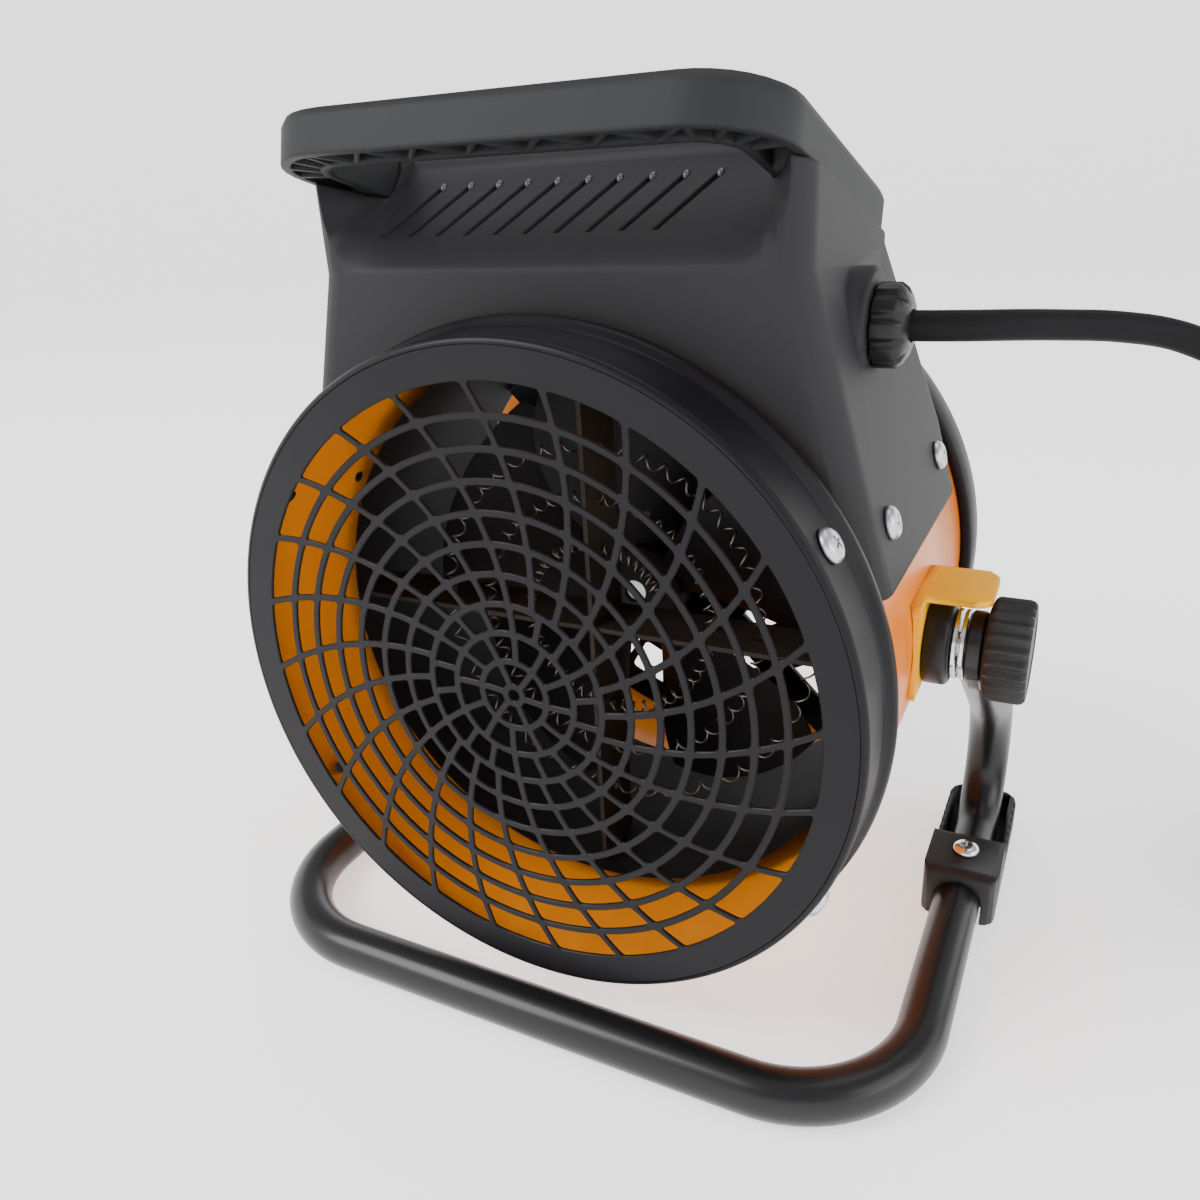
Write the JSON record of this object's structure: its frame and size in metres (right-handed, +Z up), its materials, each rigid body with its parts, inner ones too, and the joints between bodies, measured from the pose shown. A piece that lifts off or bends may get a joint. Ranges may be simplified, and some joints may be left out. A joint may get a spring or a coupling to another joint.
{
  "type": "forced air heater",
  "caption": "Drum-shaped forced air heater with a spiral wire-web grille, a moulded carrying handle with two dials, and a bent-tube stand that it tilts on.",
  "frame": {"origin": "on the floor, straight below the tilt axis, midway between the stand's legs", "axes": "+X to the heater's right as seen from the front, along the tilt axis; +Y from the grille to the back; +Z up"},
  "size_m": [0.4412, 0.2797, 0.2798],
  "materials": {
    "black_enamel": "semi-gloss black enamel with a fine orange-peel texture",
    "orange_enamel": "gloss orange enamel",
    "amber_paint": "gloss yellow-orange enamel",
    "black_plastic": "moulded black plastic, finely textured",
    "soft_black": "dull black plastic and nylon",
    "shield_black": "dull heat-proof black paint",
    "bright_steel": "bright plated steel",
    "zinc_steel": "zinc-plated steel",
    "dark_steel": "plain grey motor and fan finish",
    "mica": "pale pressed mica board",
    "brass": "plain brass",
    "cord_rubber": "smooth black rubber sheath"
  },
  "bodies": {
    "stand": {"stand_tube": "black_enamel", "foot_right": "soft_black", "foot_left": "soft_black", "foot_screw_right": "bright_steel", "foot_screw_left": "bright_steel", "cord_coil": "cord_rubber", "plug": "cord_rubber", "plug_pin_1": "zinc_steel", "plug_pin_2": "zinc_steel"},
    "heater": {"front_grille": "black_enamel", "back_guard": "black_enamel", "drum_shell": "orange_enamel", "top_housing": "black_plastic", "handle_lid": "black_plastic", "rim_screw_1": "zinc_steel", "rim_screw_2": "zinc_steel", "rim_screw_3": "zinc_steel", "rim_screw_4": "zinc_steel", "skirt_screw_1": "zinc_steel", "skirt_screw_2": "zinc_steel", "skirt_screw_3": "zinc_steel", "skirt_screw_4": "zinc_steel", "heat_shield": "shield_black", "heating_coil": "zinc_steel", "motor_bracket": "zinc_steel", "element_frame": "mica", "thermostat_switch": "mica", "selector_switch": "mica", "terminal_block": "mica", "fan_motor": "dark_steel", "thermal_cutout": "brass", "gland_sleeve": "soft_black", "gland_nut": "soft_black", "pivot_bracket_right": "amber_paint", "pivot_bolt_right": "bright_steel", "washer_inner_right": "bright_steel", "washer_outer_right": "bright_steel", "pivot_bush_right": "soft_black", "pivot_bracket_left": "amber_paint", "pivot_bolt_left": "bright_steel", "washer_inner_left": "bright_steel", "washer_outer_left": "bright_steel", "pivot_bush_left": "soft_black", "mains_cord": "cord_rubber"},
    "fan": {"fan": "dark_steel", "motor_shaft": "zinc_steel"},
    "thermostat": {"thermostat_knob": "soft_black", "thermostat_stem": "brass"},
    "selector": {"selector_knob": "soft_black", "selector_stem": "brass"},
    "clamp_right": {"clamp_knob_right": "soft_black"},
    "clamp_left": {"clamp_knob_left": "soft_black"}
  },
  "joints": [
    {"name": "tilt", "type": "hinge", "parent": "stand", "child": "heater", "pos_m": [0, 0, 0.1206], "axis": [1, 0, 0], "range_deg": [-10, 14], "deforming": ["mains_cord"]},
    {"name": "fan_spin", "type": "hinge", "parent": "heater", "child": "fan", "pos_m": [0, 0.012, 0.1206], "axis": [0, 1, 0], "continuous": true},
    {"name": "thermostat_turn", "type": "hinge", "parent": "heater", "child": "thermostat", "pos_m": [-0.032, 0.006, 0.2467], "axis": [0, 0.2588, 0.9659], "range_deg": [-270, 0]},
    {"name": "selector_turn", "type": "hinge", "parent": "heater", "child": "selector", "pos_m": [0.032, 0.006, 0.2467], "axis": [0, 0.2588, 0.9659], "range_deg": [-135, 0]},
    {"name": "clamp_right_turn", "type": "hinge", "parent": "heater", "child": "clamp_right", "pos_m": [0.127, 0, 0.1206], "axis": [1, 0, 0], "range_deg": [0, 360]},
    {"name": "clamp_left_turn", "type": "hinge", "parent": "heater", "child": "clamp_left", "pos_m": [-0.127, 0, 0.1206], "axis": [-1, 0, 0], "range_deg": [0, 360]}
  ]
}
